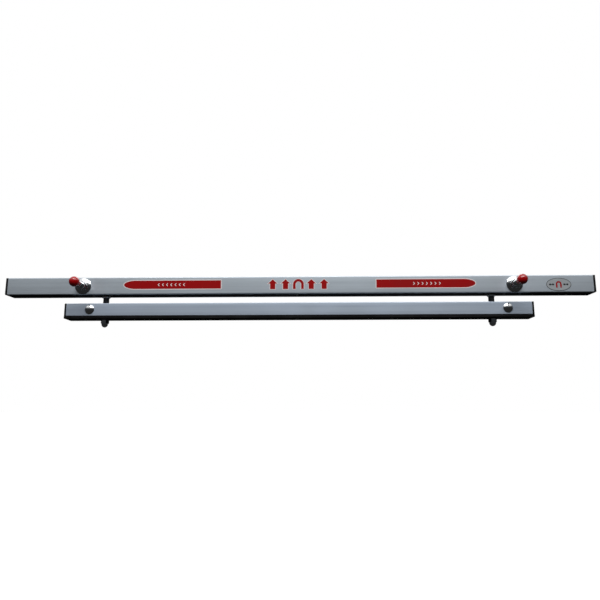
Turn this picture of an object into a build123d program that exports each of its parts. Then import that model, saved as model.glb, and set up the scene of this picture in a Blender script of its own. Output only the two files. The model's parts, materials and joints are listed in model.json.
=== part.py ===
"""Hanging magnetic nail sweeper.

A hanger bar slides up onto two square posts and is locked there by two spring pull pins.
A shorter magnet bar hangs below it on two guide studs, and can ride up along them when it
meets an obstacle.

Frame: millimetres, +X along the bars, -Y towards the pull pins, +Z up.
Origin: the centre of the hanger bar's top face.
"""
import os
from math import asin, cos, sin

from build123d import *

os.makedirs("parts", exist_ok=True)

# ---------------------------------------------------------------------------------------
# Driving sizes
# ---------------------------------------------------------------------------------------

# Hanger bar
hanger_length = 1524.0  # over both end caps, 60 in
hanger_depth = 50.8
hanger_height = 45.0
hanger_wall = 3.2
hanger_corner = 2.4  # outer corner radius of the extrusion
ledge_width = 2.6
ledge_thickness = 2.0
cover_thickness = 4.0
cover_recess = 1.0  # how far the cover sits up inside the channel's mouth
cap_flange = 6.0
cap_plug = 14.0
cap_plug_wall = 2.5

# Magnet bar
magnet_bar_length = 1206.0  # over both end caps
housing_depth = 46.0
housing_height = 33.0
housing_wall = 3.0
housing_corner = 1.6
bar_gap = 23.0  # from the hanger bar's underside to the magnet bar's top, at rest
wear_strip_thickness = 6.4
magnet_cap_flange = 5.0
magnet_cap_plug = 10.0
backing_thickness = 5.0
magnet_side_gap = 1.0
magnet_gap = 0.5
bays = 4  # magnet bays between the guide blocks
magnets_per_bay = 2
spacer_length = 16.0

# Guides
guide_from_end = 100.0  # from the magnet bar's end to a guide stud's axis
stud_diameter = 12.0
sleeve_wall = 1.3
jam_nut_flats = 19.0
jam_nut_height = 7.0
bushing_wall = 1.42
stop_ring = 2.0  # how much of the wear strip each stop washer carries, outside the guide's hole
stop_washer_thickness = 2.0
acorn_flats = 19.0
acorn_hex_height = 9.0
acorn_height = 19.0
acorn_dome_diameter = 17.0
acorn_thread_depth = 14.0
anchor_length = 40.0
stud_engagement = 28.0
guide_block_inner = 21.0  # from the stud's axis to the block's inner end
guide_block_outer = 57.0  # from the stud's axis to the block's outer end

# Pull pins and post sockets
pin_from_guide = 53.5  # from a guide stud's axis out to a pull pin's
pin_z = -23.0
post_size = 25.4
socket_length = 54.0
socket_collar_wall = 3.4
socket_depth = 34.0
barrel_diameter = 16.0
barrel_reach = 34.0  # in front of the hanger bar's face
chamber_diameter = 12.4
barrel_end_wall = 7.0
nose_diameter = 10.0
nose_reach = 10.0  # into the socket, at rest
nose_taper = 1.5
nose_bush_length = 4.0
shoulder_diameter = 12.0
shoulder_thickness = 3.0
stem_diameter = 8.0
washer_diameter = 42.0
washer_thickness = 5.0  # at the nut's seat
washer_rim = 1.2  # thickness at the outer edge
washer_seat_margin = 2.0  # the flat seat's edge, outside the nut's flats
pin_nut_flats = 24.0
pin_nut_height = 9.0
knob_diameter = 26.0
knob_reach = 57.0  # from the hanger bar's face to the ball's centre
knob_neck_diameter = 15.0
knob_neck_gap = 2.0  # from the barrel's end to the knob's neck, at rest
knob_thread_depth = 4.0  # past the ball's centre
spring_wire = 1.1
spring_turns = 9

# Cross bolts through the magnet bar
cross_bolt_from_guide = 34.0
cross_bolt_drop = 16.0  # below the magnet bar's top
cross_bolt_diameter = 10.0
dome_diameter = 25.0
dome_height = 5.6
dome_rim = 0.8
cross_washer_diameter = 21.0
cross_washer_thickness = 2.0
cross_nut_flats = 17.0
cross_nut_height = 8.0
thread_end = 2.0  # how far a bolt stands out of its nut

# Holes in the top face for hanging hardware
hanging_hole_diameter = 11.0
hanging_hole_from_end = 51.0

# Every hexagon nut's turned corners
nut_face_share = 0.95  # the flat face's diameter over the width across flats
nut_chamfer_slope = 0.5

# Small screws
screw_m4 = (4.0, 8.0, 2.3, 11.0)  # shank, head, head height, overall length
screw_m5 = (5.0, 9.4, 2.7, 14.0)
socket_screw = (6.0, 10.5, 3.3, 15.0)
anchor_screw_offset = 13.0
centre_block_length = 30.0

# Labels
label_thickness = 0.3
arrow_length = 257.0
arrow_height = 26.0
arrow_tip = 22.0
arrow_from_pin = 101.0  # from a pull pin's axis in to the arrow's tip
label_row_x = 4.0
label_row_z = -20.4
centre_mark_length = 166.0
centre_mark_height = 29.0
badge_length = 63.0
badge_height = 34.0
badge_from_end = 94.0
badge_z = -25.0

# Clearances
slip = 0.2  # between a piece and the channel or bar that it slides into
post_clearance = 0.4  # a post in its socket, each side
running = 0.05  # a pin in its guide, radius
guide_running = 0.08  # the bushing on its sleeve, radius
hole_clearance = 0.4  # a bolt's hole over the bolt, diameter
lift_clearance = 1.0  # left between the magnet bar and the jam nuts at full lift
spring_end_gap = 0.1

# ---------------------------------------------------------------------------------------
# Levels and places worked out from the driving sizes
# ---------------------------------------------------------------------------------------

guide_x = magnet_bar_length / 2 - guide_from_end
pin_x = guide_x + pin_from_guide
cross_bolt_x = guide_x + cross_bolt_from_guide
hanging_hole_x = hanger_length / 2 - hanging_hole_from_end
arrow_inner_x = pin_x - arrow_from_pin - arrow_length
badge_x = hanger_length / 2 - badge_from_end

front = -hanger_depth / 2
inner_depth = hanger_depth - 2 * hanger_wall
channel_length = hanger_length - 2 * cap_flange
cover_bottom = -hanger_height + cover_recess
cover_top = cover_bottom + cover_thickness
ledge_top = cover_top + ledge_thickness
block_top = -hanger_wall
block_height = block_top - ledge_top - slip
block_depth = inner_depth - 2 * slip
boss_depth = inner_depth - 2 * ledge_width - 2 * slip

housing_top = -hanger_height - bar_gap
housing_bottom = housing_top - housing_height
housing_length = magnet_bar_length - 2 * magnet_cap_flange
housing_inner = housing_depth - 2 * housing_wall
backing_top = housing_top - housing_wall
backing_bottom = backing_top - backing_thickness
filler_height = backing_bottom - housing_bottom
filler_depth = housing_inner - 2 * slip
magnet_thickness = filler_height - magnet_gap
magnet_width = housing_inner - 2 * magnet_side_gap
strip_bottom = housing_bottom - wear_strip_thickness
cross_bolt_z = housing_top - cross_bolt_drop

sleeve_bore = stud_diameter + hole_clearance
sleeve_diameter = sleeve_bore + 2 * sleeve_wall
bushing_diameter = sleeve_diameter + 2 * guide_running + 2 * bushing_wall
guide_bore = sleeve_diameter + 2 * guide_running + 2 * hole_clearance
stop_washer_diameter = guide_bore + 2 * stop_ring
jam_nut_bottom = cover_bottom - jam_nut_height
lift_travel = jam_nut_bottom - housing_top - lift_clearance
stop_washer_bottom = strip_bottom - stop_washer_thickness
acorn_bottom = stop_washer_bottom - acorn_height
stud_bottom = stop_washer_bottom - acorn_thread_depth
stud_top = cover_top + stud_engagement

pocket_size = post_size + 2 * post_clearance
pocket_front = -pocket_size / 2
collar_size = pocket_size + 2 * socket_collar_wall
barrel_end = front - barrel_reach
bush_outer_end = pocket_front - nose_bush_length
shoulder_back = bush_outer_end - shoulder_thickness
chamber_end = barrel_end + barrel_end_wall
knob_y = front - knob_reach
neck_start = barrel_end - knob_neck_gap
stem_end = knob_y - knob_thread_depth

run_inner = guide_x - guide_block_inner  # half the magnet run between the guide blocks
run_outer = guide_x + guide_block_outer
bay_length = (2 * run_inner - (bays - 1) * spacer_length) / bays
bay_pitch = bay_length + spacer_length
magnet_length = (bay_length - (magnets_per_bay + 1) * magnet_gap) / magnets_per_bay
end_magnet_length = housing_length / 2 - magnet_cap_plug - run_outer - 2 * magnet_gap

sides = (("left", -1), ("right", 1))
print(f"lift travel {lift_travel:.2f} mm, magnets {magnet_length:.2f} and {end_magnet_length:.2f} mm long")


def countersunk_profile(screw):
    """Half section of a countersunk screw, its head's top at the local origin, pointing down."""
    shank, head, head_height, length = screw
    return [
        (0, 0),
        (head / 2, 0),
        (head / 2, -0.4),
        (shank / 2, -head_height),
        (shank / 2, -length),
        (0, -length),
    ]


def cap_middle(radius, rise):
    """Middle of a spherical cap's half section, as (distance from the axis, height)."""
    sphere = (radius**2 + rise**2) / (2 * rise)
    half_angle = asin(min(radius / sphere, 1)) / 2
    return sphere * sin(half_angle), rise - sphere + sphere * cos(half_angle)


# ---------------------------------------------------------------------------------------
# Hanger bar
# ---------------------------------------------------------------------------------------

# Channel: open below, with a ledge on each side wall that the cover seats against.
with BuildPart() as hanger_channel:
    with BuildSketch(Plane.YZ.offset(-channel_length / 2)):
        with Locations((0, -hanger_height / 2)):
            RectangleRounded(hanger_depth, hanger_height, hanger_corner)
        with Locations((0, -hanger_wall)):
            Rectangle(
                inner_depth, hanger_height, align=(Align.CENTER, Align.MAX), mode=Mode.SUBTRACT
            )
        for side_sign in (-1, 1):
            with Locations((side_sign * (inner_depth - ledge_width) / 2, ledge_top)):
                Rectangle(ledge_width, ledge_thickness, align=(Align.CENTER, Align.MAX))
    extrude(amount=channel_length)
    # Openings for the post sockets' collars.
    with BuildSketch(Plane.XY):
        with Locations((-pin_x, 0), (pin_x, 0)):
            RectangleRounded(collar_size + 2 * slip, collar_size + 2 * slip, 3)
    extrude(amount=-hanger_wall, mode=Mode.SUBTRACT)
    # Hanging holes.
    with BuildSketch(Plane.XY):
        with Locations((-hanging_hole_x, 0), (hanging_hole_x, 0)):
            Circle(hanging_hole_diameter / 2)
    extrude(amount=-hanger_wall, mode=Mode.SUBTRACT)
    # Countersunk holes above the anchor blocks and the centre block.
    for block_x, offsets in (
        (-guide_x, (-anchor_screw_offset, anchor_screw_offset)),
        (guide_x, (-anchor_screw_offset, anchor_screw_offset)),
        (0, (0,)),
    ):
        for offset_x in offsets:
            with BuildSketch(Plane.XZ) as csk:
                with Locations((block_x + offset_x, 0)):
                    Polygon(*countersunk_profile(screw_m5), align=None)
            revolve(csk.sketch, axis=Axis((block_x + offset_x, 0, 0), (0, 0, 1)), mode=Mode.SUBTRACT)
    # Holes for the barrels in front and the socket screws behind.
    with BuildSketch(Plane.XZ.offset(-front)):
        with Locations((-pin_x, pin_z), (pin_x, pin_z)):
            Circle(barrel_diameter / 2)
    extrude(amount=-hanger_wall, mode=Mode.SUBTRACT)
    socket_screw_offset = (pocket_size + socket_length) / 4
    socket_screw_places = [
        (sign * pin_x + shift, pin_z)
        for sign in (-1, 1)
        for shift in (-socket_screw_offset, socket_screw_offset)
    ]
    with BuildSketch(Plane.XZ.offset(front)):
        with Locations(*socket_screw_places):
            Circle(socket_screw[0] / 2)
    extrude(amount=hanger_wall, mode=Mode.SUBTRACT)
hanger_channel.part.label = "hanger_channel"
export_step(hanger_channel.part, "parts/hanger_channel.step")

# Cover: the black strip that closes the channel's mouth.
cover_screw_places = [(0, 0)]
cover_screw_places += [(sign * guide_x - sign * anchor_screw_offset, 0) for sign in (-1, 1)]
cover_screw_places += [
    (sign * pin_x + shift, 0) for sign in (-1, 1) for shift in (-socket_screw_offset, socket_screw_offset)
]
with BuildPart() as channel_cover:
    with BuildSketch(Plane.XY.offset(cover_bottom)):
        Rectangle(channel_length, inner_depth - 2 * slip)
        with Locations((-guide_x, 0), (guide_x, 0)):
            Circle(sleeve_bore / 2, mode=Mode.SUBTRACT)
    extrude(amount=cover_thickness)
    for screw_x, screw_y in cover_screw_places:
        with BuildSketch(Plane.XZ) as csk:
            with Locations((screw_x, cover_bottom)):
                Polygon(*[(x, -z) for x, z in countersunk_profile(screw_m4)], align=None)
        revolve(csk.sketch, axis=Axis((screw_x, 0, 0), (0, 0, 1)), mode=Mode.SUBTRACT)
channel_cover.part.label = "channel_cover"
export_step(channel_cover.part, "parts/channel_cover.step")

with BuildPart() as channel_cover_screws:
    for screw_x, screw_y in cover_screw_places:
        with BuildSketch(Plane.XZ) as csk:
            with Locations((screw_x, cover_bottom)):
                Polygon(*[(x, -z) for x, z in countersunk_profile(screw_m4)], align=None)
        revolve(csk.sketch, axis=Axis((screw_x, 0, 0), (0, 0, 1)))
        with BuildSketch(Plane.XY.offset(cover_bottom)):
            with Locations((screw_x, screw_y)):
                RegularPolygon(1.3, 6)
        extrude(amount=1.4, mode=Mode.SUBTRACT)
channel_cover_screws.part.label = "channel_cover_screws"
export_step(channel_cover_screws.part, "parts/channel_cover_screws.step")

# End caps: a flange over the channel's end and a hollow plug inside it.
for side, sign in sides:
    with BuildPart() as hanger_end_cap:
        with BuildSketch(Plane.YZ.offset(sign * channel_length / 2)):
            with Locations((0, -hanger_height / 2)):
                RectangleRounded(hanger_depth, hanger_height, hanger_corner)
        extrude(amount=sign * cap_flange)
        with BuildSketch(Plane.YZ.offset(sign * channel_length / 2)):
            with Locations((0, block_top - slip)):
                Rectangle(block_depth, block_height - slip, align=(Align.CENTER, Align.MAX))
            with Locations((0, block_top - slip - cap_plug_wall)):
                Rectangle(
                    block_depth - 2 * cap_plug_wall,
                    block_height - slip - 2 * cap_plug_wall,
                    align=(Align.CENTER, Align.MAX),
                    mode=Mode.SUBTRACT,
                )
        extrude(amount=-sign * cap_plug)
        outer_face = hanger_end_cap.faces().sort_by(Axis.X)[-1 if sign > 0 else 0]
        fillet(outer_face.edges(), 1.2)
    hanger_end_cap.part.label = f"hanger_end_cap_{side}"
    export_step(hanger_end_cap.part, f"parts/hanger_end_cap_{side}.step")

# Post sockets: cast blocks that slide between the top wall and the ledges. The collar comes up
# through the top wall, and the square pocket takes the vehicle's post.
for side, sign in sides:
    with BuildPart() as post_socket:
        with BuildSketch(Plane.XY.offset(block_top)):
            with Locations((sign * pin_x, 0)):
                Rectangle(socket_length, block_depth)
        extrude(amount=-block_height)
        with BuildSketch(Plane.XY.offset(cover_top)):
            with Locations((sign * pin_x, 0)):
                Rectangle(socket_length, boss_depth)
        extrude(amount=block_top - block_height - cover_top)
        with BuildSketch(Plane.XY.offset(block_top)):
            with Locations((sign * pin_x, 0)):
                RectangleRounded(collar_size, collar_size, 3)
        extrude(amount=hanger_wall)
        with BuildSketch(Plane.XY):
            with Locations((sign * pin_x, 0)):
                RectangleRounded(pocket_size, pocket_size, 1.5)
        extrude(amount=-socket_depth, mode=Mode.SUBTRACT)
        with BuildSketch(Plane.XZ):
            with Locations((sign * pin_x, pin_z)):
                Circle(barrel_diameter / 2)
        extrude(amount=hanger_depth, mode=Mode.SUBTRACT)
        with BuildSketch(Plane.XZ.offset(-inner_depth / 2)):
            with Locations((sign * pin_x - socket_screw_offset, pin_z), (sign * pin_x + socket_screw_offset, pin_z)):
                Circle(socket_screw[0] / 2)
        extrude(amount=socket_screw[3] - hanger_wall, mode=Mode.SUBTRACT)
        for shift in (-socket_screw_offset, socket_screw_offset):
            with BuildSketch(Plane.XY.offset(cover_top)):
                with Locations((sign * pin_x + shift, 0)):
                    Circle(screw_m4[0] / 2)
            extrude(amount=screw_m4[3] - cover_thickness, mode=Mode.SUBTRACT)
    post_socket.part.label = f"post_socket_{side}"
    export_step(post_socket.part, f"parts/post_socket_{side}.step")

# Socket screws: button heads on the back wall.
with BuildPart() as socket_screws:
    shank, head, head_height, length = socket_screw
    with BuildSketch(Plane.XZ.offset(front)):
        with Locations(*socket_screw_places):
            Circle(shank / 2)
    extrude(amount=length)
    rim = 0.6
    middle_x, middle_y = cap_middle(head / 2, head_height - rim)
    for screw_x, screw_z in socket_screw_places:
        with BuildSketch(Plane.XY.offset(screw_z)) as dome:
            with BuildLine():
                crown = ThreePointArc(
                    (screw_x + head / 2, -front + rim),
                    (screw_x + middle_x, -front + rim + middle_y),
                    (screw_x, -front + head_height),
                )
                Polyline(crown @ 1, (screw_x, -front), (screw_x + head / 2, -front), crown @ 0)
            make_face()
        revolve(dome.sketch, axis=Axis((screw_x, 0, screw_z), (0, 1, 0)))
        with BuildSketch(Plane.XZ.offset(front - head_height)):
            with Locations((screw_x, screw_z)):
                RegularPolygon(2.3, 6)
        extrude(amount=2.0, mode=Mode.SUBTRACT)
socket_screws.part.label = "socket_screws"
export_step(socket_screws.part, "parts/socket_screws.step")

# Anchor blocks: tapped for the guide studs and screwed to the top wall.
for side, sign in sides:
    with BuildPart() as anchor_block:
        with BuildSketch(Plane.XY.offset(block_top)):
            with Locations((sign * guide_x, 0)):
                Rectangle(anchor_length, block_depth)
        extrude(amount=-block_height)
        with BuildSketch(Plane.XY.offset(cover_top)):
            with Locations((sign * guide_x, 0)):
                Rectangle(anchor_length, boss_depth)
        extrude(amount=block_top - block_height - cover_top)
        with BuildSketch(Plane.XY.offset(cover_top)):
            with Locations((sign * guide_x, 0)):
                Circle(stud_diameter / 2)
        extrude(amount=stud_engagement, mode=Mode.SUBTRACT)
        with BuildSketch(Plane.XY.offset(block_top)):
            with Locations(
                (sign * guide_x - anchor_screw_offset, 0), (sign * guide_x + anchor_screw_offset, 0)
            ):
                Circle(screw_m5[0] / 2)
        extrude(amount=hanger_wall - screw_m5[3], mode=Mode.SUBTRACT)
        with BuildSketch(Plane.XY.offset(cover_top)):
            with Locations((sign * guide_x - sign * anchor_screw_offset, 0)):
                Circle(screw_m4[0] / 2)
        extrude(amount=screw_m4[3] - cover_thickness, mode=Mode.SUBTRACT)
    anchor_block.part.label = f"anchor_block_{side}"
    export_step(anchor_block.part, f"parts/anchor_block_{side}.step")

# Centre block: keeps the long span's walls apart and holds the cover's middle.
with BuildPart() as centre_block:
    with BuildSketch(Plane.XY.offset(block_top)):
        Rectangle(centre_block_length, block_depth)
    extrude(amount=-block_height)
    with BuildSketch(Plane.XY.offset(cover_top)):
        Rectangle(centre_block_length, boss_depth)
    extrude(amount=block_top - block_height - cover_top)
    with BuildSketch(Plane.XY.offset(block_top)):
        Circle(screw_m5[0] / 2)
    extrude(amount=hanger_wall - screw_m5[3], mode=Mode.SUBTRACT)
    with BuildSketch(Plane.XY.offset(cover_top)):
        Circle(screw_m4[0] / 2)
    extrude(amount=screw_m4[3] - cover_thickness, mode=Mode.SUBTRACT)
centre_block.part.label = "centre_block"
export_step(centre_block.part, "parts/centre_block.step")

# Block screws: countersunk, flush with the top face.
with BuildPart() as block_screws:
    for screw_x in (
        -guide_x - anchor_screw_offset,
        -guide_x + anchor_screw_offset,
        0,
        guide_x - anchor_screw_offset,
        guide_x + anchor_screw_offset,
    ):
        with BuildSketch(Plane.XZ) as csk:
            with Locations((screw_x, 0)):
                Polygon(*countersunk_profile(screw_m5), align=None)
        revolve(csk.sketch, axis=Axis((screw_x, 0, 0), (0, 0, 1)))
        with BuildSketch(Plane.XY):
            with Locations((screw_x, 0)):
                RegularPolygon(1.7, 6)
        extrude(amount=-1.8, mode=Mode.SUBTRACT)
block_screws.part.label = "block_screws"
export_step(block_screws.part, "parts/block_screws.step")

# ---------------------------------------------------------------------------------------
# Guides that the magnet bar hangs on
# ---------------------------------------------------------------------------------------

for side, sign in sides:
    with BuildPart() as guide_stud:
        with BuildSketch(Plane.XY.offset(stud_bottom)):
            with Locations((sign * guide_x, 0)):
                Circle(stud_diameter / 2)
        extrude(amount=stud_top - stud_bottom)
        chamfer(guide_stud.faces().sort_by(Axis.Z)[0].edges(), 1)
    guide_stud.part.label = f"guide_stud_{side}"
    export_step(guide_stud.part, f"parts/guide_stud_{side}.step")

    with BuildPart() as guide_sleeve:
        with BuildSketch(Plane.XY.offset(strip_bottom)):
            with Locations((sign * guide_x, 0)):
                Circle(sleeve_diameter / 2)
                Circle(sleeve_bore / 2, mode=Mode.SUBTRACT)
        extrude(amount=jam_nut_bottom - strip_bottom)
    guide_sleeve.part.label = f"guide_sleeve_{side}"
    export_step(guide_sleeve.part, f"parts/guide_sleeve_{side}.step")

guide_places = [(-guide_x, 0), (guide_x, 0)]


def corner_cone(across_flats, height):
    """Half section of the round blank that a hexagon nut's chamfered corners are turned from."""
    face_radius = across_flats * nut_face_share / 2
    reach = across_flats / 3**0.5 + 1
    drop = (reach - face_radius) * nut_chamfer_slope
    return [(0, 0), (face_radius, 0), (reach, drop), (reach, height - drop), (face_radius, height), (0, height)]


# Jam nuts: lock the studs below the cover.
with BuildPart() as guide_jam_nuts:
    for nut_x, nut_y in guide_places:
        with BuildPart(mode=Mode.PRIVATE) as blank:
            with BuildSketch(Plane.XZ) as half:
                with Locations((nut_x, jam_nut_bottom)):
                    Polygon(*corner_cone(jam_nut_flats, jam_nut_height), align=None)
            revolve(half.sketch, axis=Axis((nut_x, 0, 0), (0, 0, 1)))
        with BuildPart(mode=Mode.PRIVATE) as hexagon:
            with BuildSketch(Plane.XY.offset(jam_nut_bottom)):
                with Locations((nut_x, nut_y)):
                    RegularPolygon(jam_nut_flats / 2, 6, major_radius=False)
                    Circle(stud_diameter / 2, mode=Mode.SUBTRACT)
            extrude(amount=jam_nut_height)
        add(hexagon.part & blank.part)
guide_jam_nuts.part.label = "guide_jam_nuts"
export_step(guide_jam_nuts.part, "parts/guide_jam_nuts.step")

# Stop washers: the magnet bar rests on them.
with BuildPart() as stop_washers:
    with BuildSketch(Plane.XY.offset(strip_bottom)):
        with Locations(*guide_places):
            Circle(stop_washer_diameter / 2)
            Circle(sleeve_bore / 2, mode=Mode.SUBTRACT)
    extrude(amount=-stop_washer_thickness)
stop_washers.part.label = "stop_washers"
export_step(stop_washers.part, "parts/stop_washers.step")

# Acorn nuts: domed nuts on the studs' ends.
with BuildPart() as acorn_nuts:
    dome_radius = acorn_dome_diameter / 2
    dome_start = stop_washer_bottom - acorn_hex_height
    dome_foot = acorn_bottom + dome_radius
    middle_x, middle_z = cap_middle(dome_radius, dome_radius)
    for nut_x, nut_y in guide_places:
        with BuildPart(mode=Mode.PRIVATE) as blank:
            with BuildSketch(Plane.XZ) as half:
                with Locations((nut_x, stop_washer_bottom)):
                    Polygon(*[(x, -z) for x, z in corner_cone(acorn_flats, acorn_hex_height)], align=None)
            revolve(half.sketch, axis=Axis((nut_x, 0, 0), (0, 0, 1)))
        with BuildPart(mode=Mode.PRIVATE) as hexagon:
            with BuildSketch(Plane.XY.offset(stop_washer_bottom)):
                with Locations((nut_x, nut_y)):
                    RegularPolygon(acorn_flats / 2, 6, major_radius=False)
            extrude(amount=-acorn_hex_height)
        add(hexagon.part & blank.part)
        with BuildSketch(Plane.XZ) as half:
            with BuildLine():
                wall_foot = (nut_x + dome_radius, dome_foot)
                crown = ThreePointArc(
                    wall_foot,
                    (nut_x + middle_x, dome_foot - middle_z),
                    (nut_x, acorn_bottom),
                )
                Polyline(crown @ 1, (nut_x, dome_start), (nut_x + dome_radius, dome_start), wall_foot)
            make_face()
        revolve(half.sketch, axis=Axis((nut_x, 0, 0), (0, 0, 1)))
    with BuildSketch(Plane.XY.offset(stop_washer_bottom)):
        with Locations(*guide_places):
            Circle(stud_diameter / 2)
    extrude(amount=-acorn_thread_depth, mode=Mode.SUBTRACT)
acorn_nuts.part.label = "acorn_nuts"
export_step(acorn_nuts.part, "parts/acorn_nuts.step")

# ---------------------------------------------------------------------------------------
# Pull pins
# ---------------------------------------------------------------------------------------

# Every piece of a pull pin is turned about one axis. A half section is drawn as points
# (radius, distance along +Y), with the axis at the local origin.


def pin_plane(sign):
    """Plane whose local x is away from the pin's axis and whose local y is +Y."""
    return Plane(origin=(sign * pin_x, 0, pin_z), x_dir=(1, 0, 0), z_dir=(0, 0, 1))


for side, sign in sides:
    plane = pin_plane(sign)
    turn_axis = Axis((sign * pin_x, 0, pin_z), (0, 1, 0))

    # Barrel: threaded through the channel's front wall into the post socket.
    with BuildPart() as plunger_barrel:
        with BuildSketch(plane) as half:
            Polygon(
                (chamber_diameter / 2, pocket_front),
                (barrel_diameter / 2, pocket_front),
                (barrel_diameter / 2, barrel_end + 1),
                (barrel_diameter / 2 - 1, barrel_end),
                (stem_diameter / 2 + running, barrel_end),
                (stem_diameter / 2 + running, chamber_end),
                (chamber_diameter / 2, chamber_end),
                align=None,
            )
        revolve(half.sketch, axis=turn_axis)
    plunger_barrel.part.label = f"plunger_barrel_{side}"
    export_step(plunger_barrel.part, f"parts/plunger_barrel_{side}.step")

    # Nose bush: pressed into the barrel's mouth, guides the nose and stops the shoulder.
    with BuildPart() as nose_bush:
        with BuildSketch(plane) as half:
            Polygon(
                (nose_diameter / 2 + running, pocket_front),
                (chamber_diameter / 2, pocket_front),
                (chamber_diameter / 2, bush_outer_end),
                (nose_diameter / 2 + running, bush_outer_end),
                align=None,
            )
        revolve(half.sketch, axis=turn_axis)
    nose_bush.part.label = f"nose_bush_{side}"
    export_step(nose_bush.part, f"parts/nose_bush_{side}.step")

    # Pin: tapered nose, stop shoulder and stem in one turned piece.
    with BuildPart() as pull_pin:
        with BuildSketch(plane) as half:
            Polygon(
                (0, pocket_front + nose_reach),
                (nose_diameter / 2 - nose_taper, pocket_front + nose_reach),
                (nose_diameter / 2, pocket_front + nose_reach - 2 * nose_taper),
                (nose_diameter / 2, bush_outer_end),
                (shoulder_diameter / 2, bush_outer_end),
                (shoulder_diameter / 2, shoulder_back),
                (stem_diameter / 2, shoulder_back),
                (stem_diameter / 2, stem_end + 1),
                (stem_diameter / 2 - 1, stem_end),
                (0, stem_end),
                align=None,
            )
        revolve(half.sketch, axis=turn_axis)
    pull_pin.part.label = f"pull_pin_{side}"
    export_step(pull_pin.part, f"parts/pull_pin_{side}.step")

    # Return spring: between the shoulder and the end of the barrel's chamber.
    with BuildPart() as plunger_spring:
        spring_radius = (chamber_diameter - spring_wire) / 2 - slip
        spring_start = shoulder_back - spring_end_gap - spring_wire / 2
        spring_length = spring_start - (chamber_end + spring_end_gap + spring_wire / 2)
        with BuildLine() as coil:
            Helix(
                pitch=spring_length / spring_turns,
                height=spring_length,
                radius=spring_radius,
                center=(sign * pin_x, spring_start, pin_z),
                direction=(0, -1, 0),
            )
        with BuildSketch(Plane(origin=coil.line @ 0, z_dir=coil.line % 0)):
            Circle(spring_wire / 2)
        sweep(path=coil.line, is_frenet=True)
    plunger_spring.part.label = f"plunger_spring_{side}"
    export_step(plunger_spring.part, f"parts/plunger_spring_{side}.step")

    # Knob: a ball with a short neck, screwed onto the stem.
    with BuildPart() as pin_knob:
        ball_radius = knob_diameter / 2
        neck_radius = knob_neck_diameter / 2
        neck_meet = (ball_radius**2 - neck_radius**2) ** 0.5
        with BuildSketch(plane) as half:
            with BuildLine():
                outline = ThreePointArc(
                    (neck_radius, knob_y + neck_meet),
                    (ball_radius, knob_y),
                    (0, knob_y - ball_radius),
                )
                Polyline(
                    outline @ 1,
                    (0, stem_end),
                    (stem_diameter / 2 - 1, stem_end),
                    (stem_diameter / 2, stem_end + 1),
                    (stem_diameter / 2, neck_start),
                    (neck_radius - 0.8, neck_start),
                    (neck_radius, neck_start - 0.8),
                    outline @ 0,
                )
            make_face()
        revolve(half.sketch, axis=turn_axis)
    pin_knob.part.label = f"pin_knob_{side}"
    export_step(pin_knob.part, f"parts/pin_knob_{side}.step")

pin_places = [(-pin_x, pin_z), (pin_x, pin_z)]

# Flange washers: domed, against the hanger bar's face, with a flat seat for the jam nut.
with BuildPart() as plunger_washers:
    seat_radius = pin_nut_flats / 2 + washer_seat_margin
    rim_rise = washer_thickness - washer_rim
    sphere = ((washer_diameter / 2) ** 2 - seat_radius**2 + rim_rise**2) / (2 * rim_rise)
    middle_radius = (washer_diameter / 2 + seat_radius) / 2
    middle_y = front - washer_thickness + sphere - (sphere**2 - middle_radius**2 + seat_radius**2) ** 0.5
    for washer_x, washer_z in pin_places:
        with BuildSketch(Plane(origin=(washer_x, 0, washer_z), x_dir=(1, 0, 0), z_dir=(0, 0, 1))) as half:
            with BuildLine():
                dome = ThreePointArc(
                    (washer_diameter / 2, front - washer_rim),
                    (middle_radius, middle_y),
                    (seat_radius, front - washer_thickness),
                )
                Polyline(
                    dome @ 1,
                    (barrel_diameter / 2, front - washer_thickness),
                    (barrel_diameter / 2, front),
                    (washer_diameter / 2, front),
                    dome @ 0,
                )
            make_face()
        revolve(half.sketch, axis=Axis((washer_x, 0, washer_z), (0, 1, 0)))
plunger_washers.part.label = "plunger_washers"
export_step(plunger_washers.part, "parts/plunger_washers.step")

# Jam nuts: lock the barrels against the washers.
with BuildPart() as plunger_nuts:
    nut_face = front - washer_thickness
    for nut_x, nut_z in pin_places:
        with BuildPart(mode=Mode.PRIVATE) as blank:
            with BuildSketch(Plane.XY.offset(nut_z)) as half:
                with Locations((nut_x, nut_face)):
                    Polygon(*[(x, -y) for x, y in corner_cone(pin_nut_flats, pin_nut_height)], align=None)
            revolve(half.sketch, axis=Axis((nut_x, 0, nut_z), (0, 1, 0)))
        with BuildPart(mode=Mode.PRIVATE) as hexagon:
            with BuildSketch(Plane.XZ.offset(-nut_face)):
                with Locations((nut_x, nut_z)):
                    RegularPolygon(pin_nut_flats / 2, 6, major_radius=False)
                    Circle(barrel_diameter / 2, mode=Mode.SUBTRACT)
            extrude(amount=pin_nut_height)
        add(hexagon.part & blank.part)
plunger_nuts.part.label = "plunger_nuts"
export_step(plunger_nuts.part, "parts/plunger_nuts.step")

# ---------------------------------------------------------------------------------------
# Magnet bar
# ---------------------------------------------------------------------------------------

cross_places = [(-cross_bolt_x, cross_bolt_z), (cross_bolt_x, cross_bolt_z)]
cross_hole = cross_bolt_diameter + hole_clearance
spacer_places = [((number + 1 - bays / 2) * bay_pitch, 0) for number in range(bays - 1)]
strip_screw_places = spacer_places + [
    (sign * (guide_x + shift), 0)
    for sign in (-1, 1)
    for shift in ((cross_bolt_x - guide_x - cross_bolt_diameter / 2 + bushing_diameter / 2) / 2,
                  guide_block_outer - screw_m5[1] / 2 - 1)
]

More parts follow.
